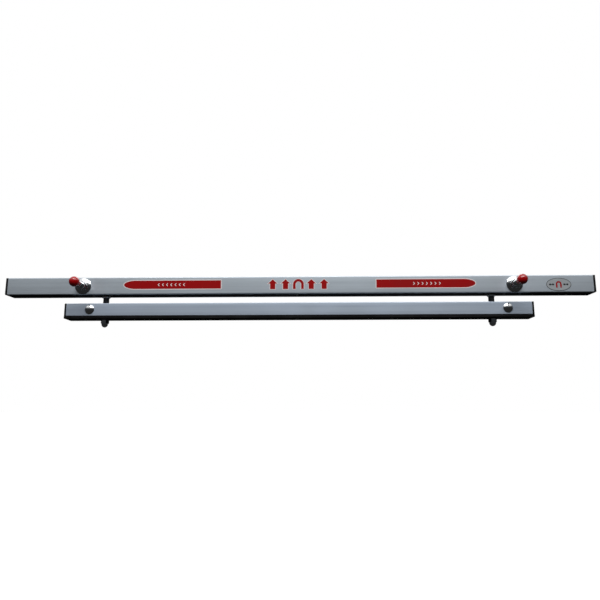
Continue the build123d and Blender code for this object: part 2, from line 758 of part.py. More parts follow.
# Housing: aluminium channel, open below.
with BuildPart() as magnet_housing:
    with BuildSketch(Plane.YZ.offset(-housing_length / 2)):
        with Locations((0, housing_top - housing_height / 2)):
            RectangleRounded(housing_depth, housing_height, housing_corner)
        with Locations((0, backing_top)):
            Rectangle(
                housing_inner, housing_height, align=(Align.CENTER, Align.MAX), mode=Mode.SUBTRACT
            )
    extrude(amount=housing_length)
    with BuildSketch(Plane.XY.offset(housing_top)):
        with Locations(*guide_places):
            Circle(guide_bore / 2)
    extrude(amount=-housing_wall, mode=Mode.SUBTRACT)
    with BuildSketch(Plane.XZ.offset(housing_depth / 2)):
        with Locations(*cross_places):
            Rectangle(cross_bolt_diameter, cross_bolt_diameter)
    extrude(amount=-housing_wall, mode=Mode.SUBTRACT)
    with BuildSketch(Plane.XZ.offset(-housing_depth / 2)):
        with Locations(*cross_places):
            Circle(cross_hole / 2)
    extrude(amount=housing_wall, mode=Mode.SUBTRACT)
magnet_housing.part.label = "magnet_housing"
export_step(magnet_housing.part, "parts/magnet_housing.step")

# Backing plate: steel, closes the magnets' field behind them.
with BuildPart() as backing_plate:
    with BuildSketch(Plane.XY.offset(backing_bottom)):
        Rectangle(housing_length - 2 * magnet_cap_plug - 2 * magnet_gap, filler_depth)
        with Locations(*guide_places):
            Circle(guide_bore / 2, mode=Mode.SUBTRACT)
    extrude(amount=backing_thickness)
backing_plate.part.label = "backing_plate"
export_step(backing_plate.part, "parts/backing_plate.step")

# Magnets: equal blocks in the bays between the guide blocks, and a short one at each end.
with BuildPart() as magnet_blocks:
    with BuildSketch(Plane.XY.offset(backing_bottom)):
        for bay in range(bays):
            bay_start = -run_inner + bay * bay_pitch
            for number in range(magnets_per_bay):
                block_x = bay_start + magnet_gap + number * (magnet_length + magnet_gap) + magnet_length / 2
                with Locations((block_x, 0)):
                    Rectangle(magnet_length, magnet_width)
        end_x = run_outer + magnet_gap + end_magnet_length / 2
        with Locations((-end_x, 0), (end_x, 0)):
            Rectangle(end_magnet_length, magnet_width)
    extrude(amount=-magnet_thickness)
magnet_blocks.part.label = "magnet_blocks"
export_step(magnet_blocks.part, "parts/magnet_blocks.step")

# Spacers between the bays, tapped for the wear strip's screws.
with BuildPart() as magnet_spacers:
    with BuildSketch(Plane.XY.offset(backing_bottom)):
        with Locations(*spacer_places):
            Rectangle(spacer_length, filler_depth)
            Circle(screw_m5[0] / 2, mode=Mode.SUBTRACT)
    extrude(amount=-filler_height)
magnet_spacers.part.label = "magnet_spacers"
export_step(magnet_spacers.part, "parts/magnet_spacers.step")

for side, sign in sides:
    block_center = sign * (run_inner + run_outer) / 2
    # Guide block: carries the bushing and the cross bolt.
    with BuildPart() as guide_block:
        with BuildSketch(Plane.XY.offset(backing_bottom)):
            with Locations((block_center, 0)):
                Rectangle(run_outer - run_inner, filler_depth)
            with Locations((sign * guide_x, 0)):
                Circle(bushing_diameter / 2, mode=Mode.SUBTRACT)
        extrude(amount=-filler_height)
        with BuildSketch(Plane.XZ.offset(housing_depth / 2)):
            with Locations((sign * cross_bolt_x, cross_bolt_z)):
                Circle(cross_hole / 2)
        extrude(amount=-housing_depth, mode=Mode.SUBTRACT)
        with BuildSketch(Plane.XY.offset(housing_bottom)):
            with Locations(*[place for place in strip_screw_places if run_inner < sign * place[0] < run_outer]):
                Circle(screw_m5[0] / 2)
        extrude(amount=screw_m5[3] - wear_strip_thickness, mode=Mode.SUBTRACT)
    guide_block.part.label = f"guide_block_{side}"
    export_step(guide_block.part, f"parts/guide_block_{side}.step")

    # Bushing: runs on the guide sleeve.
    with BuildPart() as guide_bushing:
        with BuildSketch(Plane.XY.offset(backing_bottom)):
            with Locations((sign * guide_x, 0)):
                Circle(bushing_diameter / 2)
                Circle(sleeve_diameter / 2 + guide_running, mode=Mode.SUBTRACT)
        extrude(amount=-filler_height)
    guide_bushing.part.label = f"guide_bushing_{side}"
    export_step(guide_bushing.part, f"parts/guide_bushing_{side}.step")

    # End cap: a flange over the housing's end and a hollow plug inside it.
    with BuildPart() as magnet_end_cap:
        with BuildSketch(Plane.YZ.offset(sign * housing_length / 2)):
            with Locations((0, housing_top - housing_height / 2)):
                RectangleRounded(housing_depth, housing_height, housing_corner)
        extrude(amount=sign * magnet_cap_flange)
        with BuildSketch(Plane.YZ.offset(sign * housing_length / 2)):
            with Locations((0, backing_top - slip)):
                Rectangle(
                    filler_depth,
                    housing_height - housing_wall - 2 * slip,
                    align=(Align.CENTER, Align.MAX),
                )
            with Locations((0, backing_top - slip - cap_plug_wall)):
                Rectangle(
                    filler_depth - 2 * cap_plug_wall,
                    housing_height - housing_wall - 2 * slip - 2 * cap_plug_wall,
                    align=(Align.CENTER, Align.MAX),
                    mode=Mode.SUBTRACT,
                )
        extrude(amount=-sign * magnet_cap_plug)
        outer_face = magnet_end_cap.faces().sort_by(Axis.X)[-1 if sign > 0 else 0]
        fillet(outer_face.edges(), 0.8)
    magnet_end_cap.part.label = f"magnet_end_cap_{side}"
    export_step(magnet_end_cap.part, f"parts/magnet_end_cap_{side}.step")


def strip_screw_holes(mode):
    """Countersunk bodies of the wear strip's screws, added to or cut from the current part."""
    for screw_x, screw_y in strip_screw_places:
        with BuildSketch(Plane.XZ) as csk:
            with Locations((screw_x, strip_bottom)):
                Polygon(*[(x, -z) for x, z in countersunk_profile(screw_m5)], align=None)
        revolve(csk.sketch, axis=Axis((screw_x, 0, 0), (0, 0, 1)), mode=mode)


# Wear strip: black hard plastic below the magnets, rests on the stop washers.
with BuildPart() as wear_strip:
    with BuildSketch(Plane.XY.offset(strip_bottom)):
        Rectangle(magnet_bar_length, housing_depth)
        with Locations(*guide_places):
            Circle(guide_bore / 2, mode=Mode.SUBTRACT)
    extrude(amount=wear_strip_thickness)
    strip_screw_holes(Mode.SUBTRACT)
wear_strip.part.label = "wear_strip"
export_step(wear_strip.part, "parts/wear_strip.step")

with BuildPart() as wear_strip_screws:
    strip_screw_holes(Mode.ADD)
    with BuildSketch(Plane.XY.offset(strip_bottom)):
        with Locations(*strip_screw_places):
            RegularPolygon(1.7, 6)
    extrude(amount=1.8, mode=Mode.SUBTRACT)
wear_strip_screws.part.label = "wear_strip_screws"
export_step(wear_strip_screws.part, "parts/wear_strip_screws.step")

# Cross bolts: domed heads in front, square necks in the front wall, nuts behind.
nut_back = housing_depth / 2 + cross_washer_thickness + cross_nut_height
with BuildPart() as cross_bolts:
    with BuildSketch(Plane.XZ.offset(housing_depth / 2 - housing_wall)):
        with Locations(*cross_places):
            Circle(cross_bolt_diameter / 2)
    extrude(amount=-(housing_depth / 2 - housing_wall) - nut_back - thread_end)
    with BuildSketch(Plane.XZ.offset(housing_depth / 2)):
        with Locations(*cross_places):
            Rectangle(cross_bolt_diameter, cross_bolt_diameter)
    extrude(amount=-housing_wall)
    face_y = -housing_depth / 2
    middle_x, middle_y = cap_middle(dome_diameter / 2, dome_height - dome_rim)
    for bolt_x, bolt_z in cross_places:
        with BuildSketch(Plane.XY.offset(bolt_z)) as half:
            with BuildLine():
                crown = ThreePointArc(
                    (bolt_x + dome_diameter / 2, face_y - dome_rim),
                    (bolt_x + middle_x, face_y - dome_rim - middle_y),
                    (bolt_x, face_y - dome_height),
                )
                Polyline(crown @ 1, (bolt_x, face_y), (bolt_x + dome_diameter / 2, face_y), crown @ 0)
            make_face()
        revolve(half.sketch, axis=Axis((bolt_x, 0, bolt_z), (0, 1, 0)))
cross_bolts.part.label = "cross_bolts"
export_step(cross_bolts.part, "parts/cross_bolts.step")

with BuildPart() as cross_bolt_washers:
    with BuildSketch(Plane.XZ.offset(-housing_depth / 2)):
        with Locations(*cross_places):
            Circle(cross_washer_diameter / 2)
            Circle(cross_hole / 2, mode=Mode.SUBTRACT)
    extrude(amount=-cross_washer_thickness)
cross_bolt_washers.part.label = "cross_bolt_washers"
export_step(cross_bolt_washers.part, "parts/cross_bolt_washers.step")

with BuildPart() as cross_bolt_nuts:
    nut_face = housing_depth / 2 + cross_washer_thickness
    for nut_x, nut_z in cross_places:
        with BuildPart(mode=Mode.PRIVATE) as blank:
            with BuildSketch(Plane.XY.offset(nut_z)) as half:
                with Locations((nut_x, nut_face)):
                    Polygon(*corner_cone(cross_nut_flats, cross_nut_height), align=None)
            revolve(half.sketch, axis=Axis((nut_x, 0, nut_z), (0, 1, 0)))
        with BuildPart(mode=Mode.PRIVATE) as hexagon:
            with BuildSketch(Plane.XZ.offset(-nut_face)):
                with Locations((nut_x, nut_z)):
                    RegularPolygon(cross_nut_flats / 2, 6, major_radius=False)
                    Circle(cross_bolt_diameter / 2, mode=Mode.SUBTRACT)
            extrude(amount=-cross_nut_height)
        add(hexagon.part & blank.part)
cross_bolt_nuts.part.label = "cross_bolt_nuts"
export_step(cross_bolt_nuts.part, "parts/cross_bolt_nuts.step")

# ---------------------------------------------------------------------------------------
# Labels on the hanger bar's face: thin self-adhesive sheet
# ---------------------------------------------------------------------------------------

for side, sign in sides:
    blunt = label_row_x + sign * arrow_inner_x
    with BuildPart() as label_arrow:
        with BuildSketch(Plane.XZ.offset(-front)):
            Polygon(
                (blunt, label_row_z - arrow_height / 2),
                (blunt + sign * (arrow_length - arrow_tip), label_row_z - arrow_height / 2),
                (blunt + sign * arrow_length, label_row_z),
                (blunt + sign * (arrow_length - arrow_tip), label_row_z + arrow_height / 2),
                (blunt, label_row_z + arrow_height / 2),
                align=None,
            )
        extrude(amount=label_thickness)
    label_arrow.part.label = f"label_arrow_{side}"
    export_step(label_arrow.part, f"parts/label_arrow_{side}.step")

with BuildPart() as label_centre:
    with BuildSketch(Plane.XZ.offset(-front)):
        with Locations((label_row_x, label_row_z)):
            RectangleRounded(centre_mark_length, centre_mark_height, 3)
    extrude(amount=label_thickness)
label_centre.part.label = "label_centre"
export_step(label_centre.part, "parts/label_centre.step")

with BuildPart() as label_badge:
    with BuildSketch(Plane.XZ.offset(-front)):
        with Locations((badge_x, badge_z)):
            Ellipse(badge_length / 2, badge_height / 2)
    extrude(amount=label_thickness)
label_badge.part.label = "label_badge"
export_step(label_badge.part, "parts/label_badge.step")
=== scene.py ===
# %% [markdown]
# # A hanging nail sweeper
#
# Roofers and siding crews hang this bar under a truck or a trailer. The long bar above locks
# onto two square posts with spring pull pins, and the short bar below holds a row of magnets
# that picks nails off the ground. The working model comes in as a fixed frame, in metres, and
# everything here is dress: finer versions of the visible pieces, printed labels, and the
# finish of each material.

# %% The frame
import json
from math import asin, cos, pi, radians, sin, sqrt

import bmesh
import bpy
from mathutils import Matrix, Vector

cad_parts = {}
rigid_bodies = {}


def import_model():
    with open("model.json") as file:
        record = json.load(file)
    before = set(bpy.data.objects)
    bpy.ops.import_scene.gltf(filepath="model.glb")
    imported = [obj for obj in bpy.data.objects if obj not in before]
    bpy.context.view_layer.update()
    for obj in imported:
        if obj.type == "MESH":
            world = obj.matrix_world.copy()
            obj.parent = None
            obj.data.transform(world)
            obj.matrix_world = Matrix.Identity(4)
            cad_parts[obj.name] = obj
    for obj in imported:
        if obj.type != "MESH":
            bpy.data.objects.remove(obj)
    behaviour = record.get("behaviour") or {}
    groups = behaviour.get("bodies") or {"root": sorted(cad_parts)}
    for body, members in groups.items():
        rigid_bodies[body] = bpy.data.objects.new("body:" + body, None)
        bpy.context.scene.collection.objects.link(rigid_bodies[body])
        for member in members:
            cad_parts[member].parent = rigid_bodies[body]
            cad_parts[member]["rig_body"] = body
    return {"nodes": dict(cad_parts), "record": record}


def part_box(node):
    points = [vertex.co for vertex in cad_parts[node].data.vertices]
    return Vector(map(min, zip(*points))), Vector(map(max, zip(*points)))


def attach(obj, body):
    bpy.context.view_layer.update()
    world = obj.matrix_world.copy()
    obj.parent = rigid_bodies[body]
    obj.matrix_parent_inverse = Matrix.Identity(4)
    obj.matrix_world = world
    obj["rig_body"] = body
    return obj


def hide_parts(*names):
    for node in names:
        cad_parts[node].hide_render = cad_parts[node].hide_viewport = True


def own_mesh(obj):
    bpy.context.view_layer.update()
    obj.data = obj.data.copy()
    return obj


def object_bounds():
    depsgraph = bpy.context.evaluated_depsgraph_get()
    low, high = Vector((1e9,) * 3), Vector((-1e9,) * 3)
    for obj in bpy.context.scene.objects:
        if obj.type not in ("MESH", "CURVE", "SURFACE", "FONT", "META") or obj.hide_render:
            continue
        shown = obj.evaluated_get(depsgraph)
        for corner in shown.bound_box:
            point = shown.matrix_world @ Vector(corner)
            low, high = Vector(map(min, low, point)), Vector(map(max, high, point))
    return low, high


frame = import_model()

cad_low, cad_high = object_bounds()
MM = 0.001
bar_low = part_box("hanger_channel")[0]
face_y = bar_low.y
scene = bpy.context.scene
print(f"{len(frame['nodes'])} nodes, hanger bar's face at y = {face_y:.4f} m")

# %% [markdown]
# ## Camera
#
# The sweeper is seen from a little below, as it hangs, from about a metre and a half in front.
# A real camera there would have a normal wide lens tipped up about ten degrees. The camera's
# place is counted from the lower front edge of the hanger bar, because that edge is the longest
# line in the view and small errors show there first.

# %% Camera
lens_mm = 34.48
sensor_mm = 36
level = radians(90)
tip_up = radians(10.458)
turn_left = radians(1.475)
camera_offset = Vector((0.0455, -1.4502, -0.2851))

camera_data = bpy.data.cameras.new("camera")
camera_data.lens = lens_mm
camera_data.sensor_width = sensor_mm
camera = bpy.data.objects.new("camera", camera_data)
scene.collection.objects.link(camera)
camera.location = Vector((0, face_y, bar_low.z)) + camera_offset
camera.rotation_euler = (level + tip_up, 0, turn_left)
scene.camera = camera
print("camera at", tuple(round(value, 3) for value in camera.location))

# %% [markdown]
# ## Studio
#
# Metal shows its surroundings more than its own colour, so the room matters as much as the
# material. The world gives a bright sky over a horizon and a ground that are nearly dark: a dim
# room with one large lit ceiling. Domed chrome then turns bright on top and dark below, as it
# does in a product studio. To the eye the background is plain white, because the world's shader
# asks whether a ray comes straight from the camera and answers those rays with white. Three
# soft boxes light the bars from above, from the front and from behind.


# %% A helper for shader nodes
def shader_node(tree, kind, inputs=None, **settings):
    """A new node in the tree, with its settings and its unlinked inputs filled in."""
    made = tree.nodes.new(kind)
    for name, value in settings.items():
        setattr(made, name, value)
    for name, value in (inputs or {}).items():
        made.inputs[name].default_value = value
    return made


# %% World
sky_light = 0.90
horizon_light = 0.035
ground_light = 0.02
horizon_tint = (0.93, 1.0, 1.08)
ground_stop = 0.40
horizon_stop = 0.66
sky_stop = 0.82

world = bpy.data.worlds.new("studio")
scene.world = world
world.use_nodes = True
sky = world.node_tree
sky.nodes.clear()
direction = shader_node(sky, "ShaderNodeTexCoord")
split = shader_node(sky, "ShaderNodeSeparateXYZ")
height = shader_node(sky, "ShaderNodeMapRange", {"From Min": -1.0, "From Max": 1.0})
ramp = shader_node(sky, "ShaderNodeValToRGB")
room = shader_node(sky, "ShaderNodeBackground")
paper = shader_node(sky, "ShaderNodeBackground", {"Color": (1, 1, 1, 1)})
seen = shader_node(sky, "ShaderNodeLightPath")
choose = shader_node(sky, "ShaderNodeMixShader")
out = shader_node(sky, "ShaderNodeOutputWorld")
stops = ramp.color_ramp.elements
stops[0].position = ground_stop
stops[0].color = (ground_light,) * 3 + (1,)
stops[1].position = sky_stop
stops[1].color = (sky_light,) * 3 + (1,)
stops.new(horizon_stop).color = (*(horizon_light * share for share in horizon_tint), 1)
sky.links.new(direction.outputs["Generated"], split.inputs[0])
sky.links.new(split.outputs["Z"], height.inputs["Value"])
sky.links.new(height.outputs["Result"], ramp.inputs["Fac"])
sky.links.new(ramp.outputs["Color"], room.inputs["Color"])
sky.links.new(seen.outputs["Is Camera Ray"], choose.inputs["Fac"])
sky.links.new(room.outputs[0], choose.inputs[1])
sky.links.new(paper.outputs[0], choose.inputs[2])
sky.links.new(choose.outputs[0], out.inputs["Surface"])
scene.view_settings.view_transform = "Standard"
print("world made, light from", ground_light, "below to", sky_light, "above")


# %% Soft boxes
def soft_box(name, place, aim, size, watts):
    """A rectangular area light at place, facing aim."""
    data = bpy.data.lights.new(name, "AREA")
    data.shape = "RECTANGLE"
    data.size, data.size_y = size
    data.energy = watts
    lamp = bpy.data.objects.new(name, data)
    scene.collection.objects.link(lamp)
    lamp.location = place
    lamp.rotation_euler = (Vector(aim) - Vector(place)).to_track_quat("-Z", "Y").to_euler()


middle = (0, 0, 0)
soft_box("overhead_box", place=(0, -0.6, 1.6), aim=middle, size=(3.0, 0.9), watts=4)
soft_box("front_box", place=(0.1, -1.7, 1.9), aim=middle, size=(2.6, 0.6), watts=45)
soft_box("back_box", place=(0, 1.9, 1.7), aim=middle, size=(2.6, 0.6), watts=20)
print("three soft boxes")

# %% [markdown]
# ## Floor
#
# A plain pale floor lies well below, out of the way of a bar that hangs. A disc from one bmesh
# operator is enough. It is kept out of reflections and bounced light, so that the domes keep
# their dark lower halves. A glow of its own lifts it to the white of the background, as a lit
# cove does.

# %% Floor
floor_drop = 0.62
floor_radius = 40.0
floor_sides = 96
floor_white = 0.95
floor_roughness = 0.9
floor_glow = 0.5
floor_z = cad_low.z - floor_drop

floor_mesh = bmesh.new()
bmesh.ops.create_circle(floor_mesh, cap_ends=True, segments=floor_sides, radius=floor_radius)
bmesh.ops.translate(floor_mesh, vec=(0, 0, floor_z), verts=floor_mesh.verts)
floor_data = bpy.data.meshes.new("floor")
floor_mesh.to_mesh(floor_data)
floor_mesh.free()
floor = bpy.data.objects.new("floor", floor_data)
scene.collection.objects.link(floor)
floor.visible_glossy = False
floor.visible_diffuse = False
pale = bpy.data.materials.new("pale_floor")
pale.use_nodes = True
pale_inputs = pale.node_tree.nodes["Principled BSDF"].inputs
pale_inputs["Base Color"].default_value = (floor_white,) * 3 + (1,)
pale_inputs["Roughness"].default_value = floor_roughness
pale_inputs["Emission Color"].default_value = (1, 1, 1, 1)
pale_inputs["Emission Strength"].default_value = floor_glow
floor_data.materials.append(pale)
print("floor at z =", round(floor_z, 3))

# %% [markdown]
# ## Surface effects shared by several finishes
#
# Grain, edge wear, hand marks and hairline scratches turn up on more than one material, so each
# is a node group with its own inputs. A group gives out only a mask from 0 to 1. What a mask
# does to colour, roughness or bump is decided in each material, where the Principled shader
# stays. All of them read Object coordinates, which here are metres on the real object.


# %% Group maker
def new_group(name, takes, gives):
    """An empty shader group with float or vector inputs and float outputs."""
    tree = bpy.data.node_groups.new(name, "ShaderNodeTree")
    for socket_name, kind, value in takes:
        socket = tree.interface.new_socket(name=socket_name, in_out="INPUT", socket_type=kind)
        socket.default_value = value
    for socket_name in gives:
        tree.interface.new_socket(name=socket_name, in_out="OUTPUT", socket_type="NodeSocketFloat")
    return tree, tree.nodes.new("NodeGroupInput"), tree.nodes.new("NodeGroupOutput")


# %% [markdown]
# Grain: an extruded or brushed surface has fine lines that run one way. Noise that is squeezed
# across the lines and stretched along them gives that, and the same group with an even stretch
# gives the pebble of moulded plastic.

# %% Grain group
noise_middle = 0.5
grain_group, takes, gives = new_group(
    "grain",
    [("Frequency", "NodeSocketVector", (100, 100, 100)), ("Contrast", "NodeSocketFloat", 0.25)],
    ["Grain"],
)
place = shader_node(grain_group, "ShaderNodeTexCoord")
squeeze = shader_node(grain_group, "ShaderNodeVectorMath", operation="MULTIPLY")
noise = shader_node(grain_group, "ShaderNodeTexNoise", {"Scale": 1.0, "Detail": 3.0, "Roughness": 0.6})
low_end = shader_node(grain_group, "ShaderNodeMath", {0: noise_middle}, operation="SUBTRACT")
high_end = shader_node(grain_group, "ShaderNodeMath", {0: noise_middle}, operation="ADD")
spread = shader_node(grain_group, "ShaderNodeMapRange")
links = grain_group.links
links.new(place.outputs["Object"], squeeze.inputs[0])
links.new(takes.outputs["Frequency"], squeeze.inputs[1])
links.new(squeeze.outputs[0], noise.inputs["Vector"])
links.new(takes.outputs["Contrast"], low_end.inputs[1])
links.new(takes.outputs["Contrast"], high_end.inputs[1])
links.new(noise.outputs["Fac"], spread.inputs["Value"])
links.new(low_end.outputs[0], spread.inputs["From Min"])
links.new(high_end.outputs[0], spread.inputs["From Max"])
links.new(spread.outputs["Result"], gives.inputs["Grain"])
print("grain group made")

# %% [markdown]
# Edge wear: handling rubs corners first. The Bevel node looks a little way round each point and
# returns the normal that a rounded edge would have. Where that differs from the true normal
# there is an edge nearby, and a coarse noise breaks the line up so that it looks worn, not drawn.

# %% Edge wear group
wear_reach = 0.6 * MM
wear_starts = 0.995
wear_full = 0.85
edge_group, takes, gives = new_group("edge_wear", [("Amount", "NodeSocketFloat", 1.0)], ["Wear"])
rounded = shader_node(edge_group, "ShaderNodeBevel", {"Radius": wear_reach}, samples=4)
true_normal = shader_node(edge_group, "ShaderNodeNewGeometry")
compare = shader_node(edge_group, "ShaderNodeVectorMath", operation="DOT_PRODUCT")
turn = shader_node(
    edge_group,
    "ShaderNodeMapRange",
    {"From Min": wear_starts, "From Max": wear_full, "To Min": 0.0, "To Max": 1.0},
)
place = shader_node(edge_group, "ShaderNodeTexCoord")
patches = shader_node(edge_group, "ShaderNodeTexNoise", {"Scale": 70.0, "Detail": 4.0})
broken = shader_node(edge_group, "ShaderNodeMapRange", {"From Min": 0.38, "From Max": 0.62})
both = shader_node(edge_group, "ShaderNodeMath", operation="MULTIPLY")
scaled = shader_node(edge_group, "ShaderNodeMath", operation="MULTIPLY")
links = edge_group.links
links.new(rounded.outputs[0], compare.inputs[0])
links.new(true_normal.outputs["Normal"], compare.inputs[1])
links.new(compare.outputs["Value"], turn.inputs["Value"])
links.new(place.outputs["Object"], patches.inputs["Vector"])
links.new(patches.outputs["Fac"], broken.inputs["Value"])
links.new(turn.outputs["Result"], both.inputs[0])
links.new(broken.outputs["Result"], both.inputs[1])
links.new(both.outputs[0], scaled.inputs[0])
links.new(takes.outputs["Amount"], scaled.inputs[1])
links.new(scaled.outputs[0], gives.inputs["Wear"])
print("edge wear group made")

# %% [markdown]
# Hand marks: a sweeper is carried, wiped and leant on walls, which leaves broad faint patches
# that change the gloss, and the colour a little. Hairlines: the same life leaves thin scratches,
# mostly along the bar. A contour line of a stretched noise is thin, long and never quite
# straight.

# %% Hand marks and hairlines
marks_group, takes, gives = new_group("hand_marks", [("Size", "NodeSocketFloat", 12.0)], ["Marks"])
place = shader_node(marks_group, "ShaderNodeTexCoord")
cloud = shader_node(
    marks_group, "ShaderNodeTexNoise", {"Detail": 5.0, "Roughness": 0.55, "Distortion": 0.6}
)
spread = shader_node(marks_group, "ShaderNodeMapRange", {"From Min": 0.42, "From Max": 0.66})
links = marks_group.links
links.new(place.outputs["Object"], cloud.inputs["Vector"])
links.new(takes.outputs["Size"], cloud.inputs["Scale"])
links.new(cloud.outputs["Fac"], spread.inputs["Value"])
links.new(spread.outputs["Result"], gives.inputs["Marks"])

hairline_group, takes, gives = new_group(
    "hairlines",
    [("Frequency", "NodeSocketVector", (6, 60, 60)), ("Width", "NodeSocketFloat", 0.004)],
    ["Hairline"],
)
place = shader_node(hairline_group, "ShaderNodeTexCoord")
squeeze = shader_node(hairline_group, "ShaderNodeVectorMath", operation="MULTIPLY")
noise = shader_node(hairline_group, "ShaderNodeTexNoise", {"Scale": 1.0, "Detail": 1.0})
contour = shader_node(hairline_group, "ShaderNodeMath", {1: noise_middle}, operation="SUBTRACT")
distance = shader_node(hairline_group, "ShaderNodeMath", operation="ABSOLUTE")
thin = shader_node(hairline_group, "ShaderNodeMapRange", {"From Min": 0.0, "To Min": 1.0, "To Max": 0.0})
links = hairline_group.links
links.new(place.outputs["Object"], squeeze.inputs[0])
links.new(takes.outputs["Frequency"], squeeze.inputs[1])
links.new(squeeze.outputs[0], noise.inputs["Vector"])
links.new(noise.outputs["Fac"], contour.inputs[0])
links.new(contour.outputs[0], distance.inputs[0])
links.new(distance.outputs[0], thin.inputs["Value"])
links.new(takes.outputs["Width"], thin.inputs["From Max"])
links.new(thin.outputs["Result"], gives.inputs["Hairline"])
print("marks and hairline groups made")

# %% [markdown]
# ## A finish and its layers
#
# Every finish is a Principled shader with the same kinds of layer over it: a mask can blend the
# base colour towards another, raise or lower the roughness, or feed a bump. One small class
# keeps that wiring in one place, and each finish below reads as a list of what happens to it.


# %% Finish class
class Finish:
    """A material built up in layers on one Principled shader."""

    def __init__(self, name, colour, roughness, metallic=0.0, **plain):
        self.material = bpy.data.materials.new(name)
        self.material.use_nodes = True
        self.tree = self.material.node_tree
        self.shader = self.tree.nodes["Principled BSDF"]
        self.shader.inputs["Metallic"].default_value = metallic
        for socket_name, value in plain.items():
            self.shader.inputs[socket_name.replace("_", " ")].default_value = value
        base = shader_node(self.tree, "ShaderNodeRGB")
        base.outputs[0].default_value = (*colour, 1)
        self.colour = base.outputs[0]
        gloss = shader_node(self.tree, "ShaderNodeValue")
        gloss.outputs[0].default_value = roughness
        self.roughness = gloss.outputs[0]
        self.normal = None

    def mask(self, group, **inputs):
        """A mask from one of the shared groups, as an output socket."""
        made = shader_node(self.tree, "ShaderNodeGroup")
        made.node_tree = group
        for socket_name, value in inputs.items():
            made.inputs[socket_name].default_value = value
        return made.outputs[0]

    def tint(self, mask, colour, strength=1.0):
        """Blend towards a colour where the mask is bright."""
        amount = shader_node(self.tree, "ShaderNodeMath", {1: strength}, operation="MULTIPLY")
        blend = shader_node(self.tree, "ShaderNodeMix", data_type="RGBA")
        blend.inputs["B"].default_value = (*colour, 1)
        self.tree.links.new(mask, amount.inputs[0])
        self.tree.links.new(amount.outputs[0], blend.inputs["Factor"])
        self.tree.links.new(self.colour, blend.inputs["A"])
        self.colour = blend.outputs["Result"]
        return self

    def roughen(self, mask, change):
        """Add change to the roughness where the mask is bright."""
        add = shader_node(
            self.tree, "ShaderNodeMath", {1: change}, operation="MULTIPLY_ADD", use_clamp=True
        )
        self.tree.links.new(mask, add.inputs[0])
        self.tree.links.new(self.roughness, add.inputs[2])
        self.roughness = add.outputs[0]
        return self

    def bump(self, mask, depth):
        """Raise the surface by depth, in metres, where the mask is bright."""
        relief = shader_node(self.tree, "ShaderNodeBump", {"Strength": 1.0, "Distance": depth})
        self.tree.links.new(mask, relief.inputs["Height"])
        if self.normal is not None:
            self.tree.links.new(self.normal, relief.inputs["Normal"])
        self.normal = relief.outputs["Normal"]
        return self

    def done(self):
        """Join the layers to the shader and give back the material."""
        self.tree.links.new(self.colour, self.shader.inputs["Base Color"])
        self.tree.links.new(self.roughness, self.shader.inputs["Roughness"])
        if self.normal is not None:
            self.tree.links.new(self.normal, self.shader.inputs["Normal"])
        print("finish", self.material.name)
        return self.material


# %% [markdown]
# ## Aluminium
#
# Both bars are extrusions with a clear satin anodise. Die lines run along the bar, so the fine
# grain is stretched three hundred times along X. It changes only the gloss and the bump, and
# broader streaks and hand marks change the colour a little.
# The magnet bar is a cooler grey than the hanger bar, and the cast blocks are duller and
# pebbled from the mould.


# %% Aluminium finishes
def extruded(name, colour, dark, roughness):
    """Satin anodised extrusion with die lines along the bar."""
    made = Finish(name, colour, roughness, metallic=0.55)
    lines = made.mask(grain_group, Frequency=(3, 900, 900), Contrast=0.30)
    streaks = made.mask(grain_group, Frequency=(1.2, 160, 160), Contrast=0.22)
    marks = made.mask(marks_group, Size=9.0)
    hairline = made.mask(hairline_group, Frequency=(1.2, 150, 150), Width=0.005)
    made.tint(streaks, dark, strength=0.85).tint(marks, dark, strength=0.45)
    made.tint(made.mask(edge_group, Amount=0.8), colour=(0.80, 0.82, 0.84))
    made.roughen(lines, change=0.18).roughen(marks, change=0.08).roughen(hairline, change=-0.10)
    made.bump(lines, depth=0.00002).bump(hairline, depth=-0.000015)
    return made.done()


hanger_metal = extruded(
    "hanger_anodised", colour=(0.60, 0.67, 0.73), dark=(0.50, 0.56, 0.62), roughness=0.34
)
housing_metal = extruded(
    "housing_anodised", colour=(0.60, 0.69, 0.80), dark=(0.50, 0.58, 0.70), roughness=0.36
)

cast = Finish("cast_aluminium", colour=(0.50, 0.51, 0.52), roughness=0.48, metallic=1.0)
pebble = cast.mask(grain_group, Frequency=(900, 900, 900), Contrast=0.3)
cast.tint(cast.mask(marks_group, Size=30.0), colour=(0.36, 0.36, 0.37), strength=0.5)
cast.roughen(pebble, change=0.15).bump(pebble, depth=0.00006)
cast_metal = cast.done()

# %% [markdown]
# ## Black plastic
#
# The end caps are moulded with a fine pebble, so light spreads across them. The cover and the
# wear strip are sheet stock: flatter, duller, and scuffed along their length where they have
# met gravel. Both rub grey at the corners.

# %% Plastic finishes
black = (0.004, 0.004, 0.0042)


def black_plastic(name, roughness, frequency, relief, scuff):
    """Black plastic with a texture of the given frequency and depth, rubbed grey at its corners."""
    made = Finish(name, black, roughness, Specular_IOR_Level=0.1)
    texture = made.mask(grain_group, Frequency=frequency, Contrast=0.25)
    marks = made.mask(marks_group, Size=14.0)
    hairline = made.mask(hairline_group, Frequency=(1.5, 160, 160), Width=0.006)
    made.tint(marks, colour=(0.016, 0.016, 0.017), strength=0.7)
    made.tint(hairline, colour=(0.05, 0.05, 0.052), strength=scuff)
    made.tint(made.mask(edge_group, Amount=0.55), colour=(0.07, 0.07, 0.072))
    made.roughen(texture, change=0.12).roughen(marks, change=0.06)
    made.bump(texture, relief).bump(hairline, depth=-0.00003 * scuff)
    return made.done()


